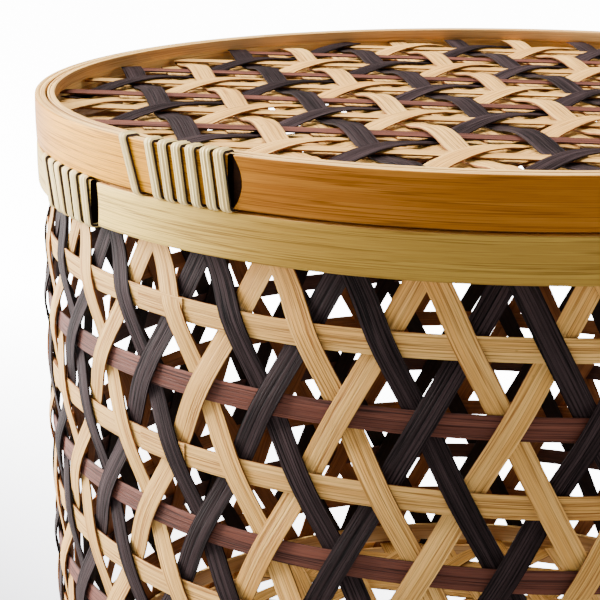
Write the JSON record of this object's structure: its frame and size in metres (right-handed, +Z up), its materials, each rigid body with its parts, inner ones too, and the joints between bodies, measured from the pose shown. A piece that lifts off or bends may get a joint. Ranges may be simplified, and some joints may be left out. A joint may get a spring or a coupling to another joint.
{
  "type": "lidded bamboo caddy",
  "caption": "Round openwork caddy of split bamboo in three-way weave, with banded rim and foot, lashed hoops and a lift-off woven lid.",
  "frame": {"origin": "centre of the foot's underside, on the surface that the caddy stands on", "axes": "+Z up through the lid; the rim and lid lashings are on the front left, towards -X and -Y"},
  "size_m": [0.239, 0.239, 0.1885],
  "materials": {
    "honey_hoop": "satin bamboo skin, honey brown, with fine grain along the hoop",
    "olive_hoop": "satin bamboo skin, pale olive, with fine grain along the hoop",
    "inner_hoop": "smooth scraped bamboo, pale tan",
    "natural_strip": "split bamboo, pale straw with tan grain lines",
    "dark_strip": "split bamboo dyed grey black, with pale grain lines",
    "red_strip": "split bamboo dyed red brown, with dark streaks",
    "cane": "ridged split cane, pale cream"
  },
  "bodies": {
    "caddy": {"rim_outer_hoop": "olive_hoop", "rim_inner_hoop": "inner_hoop", "rim_lashing": "cane", "locating_collar": "inner_hoop", "wall_left_lean_natural": "natural_strip", "wall_left_lean_dark": "dark_strip", "wall_right_lean_natural": "natural_strip", "wall_right_lean_dark": "dark_strip", "wall_hoop_1": "natural_strip", "wall_hoop_2": "red_strip", "wall_hoop_3": "natural_strip", "wall_hoop_4": "red_strip", "wall_hoop_5": "natural_strip", "wall_hoop_6": "red_strip", "wall_hoop_7": "natural_strip", "wall_hoop_8": "red_strip", "wall_hoop_9": "natural_strip", "foot_outer_hoop": "olive_hoop", "foot_inner_hoop": "inner_hoop", "foot_ledge_hoop": "inner_hoop", "foot_lashing": "cane", "base_mat_rows": "natural_strip", "base_mat_left_lean": "natural_strip", "base_mat_right_lean": "natural_strip"},
    "lid": {"lid_outer_hoop": "honey_hoop", "lid_filler_hoop": "inner_hoop", "lid_inner_hoop": "inner_hoop", "lid_support_hoop": "inner_hoop", "lid_lashing": "cane", "lid_rows_natural": "natural_strip", "lid_rows_red": "red_strip", "lid_left_lean_natural": "natural_strip", "lid_left_lean_dark": "dark_strip", "lid_right_lean_natural": "natural_strip", "lid_right_lean_dark": "dark_strip", "lid_backing_rows": "natural_strip", "lid_backing_left_lean": "natural_strip", "lid_backing_right_lean": "natural_strip"}
  },
  "joints": [
    {"name": "lid_lift", "type": "slide", "parent": "caddy", "child": "lid", "axis": [0, 0, 1], "range_m": [0, 0.2]}
  ]
}
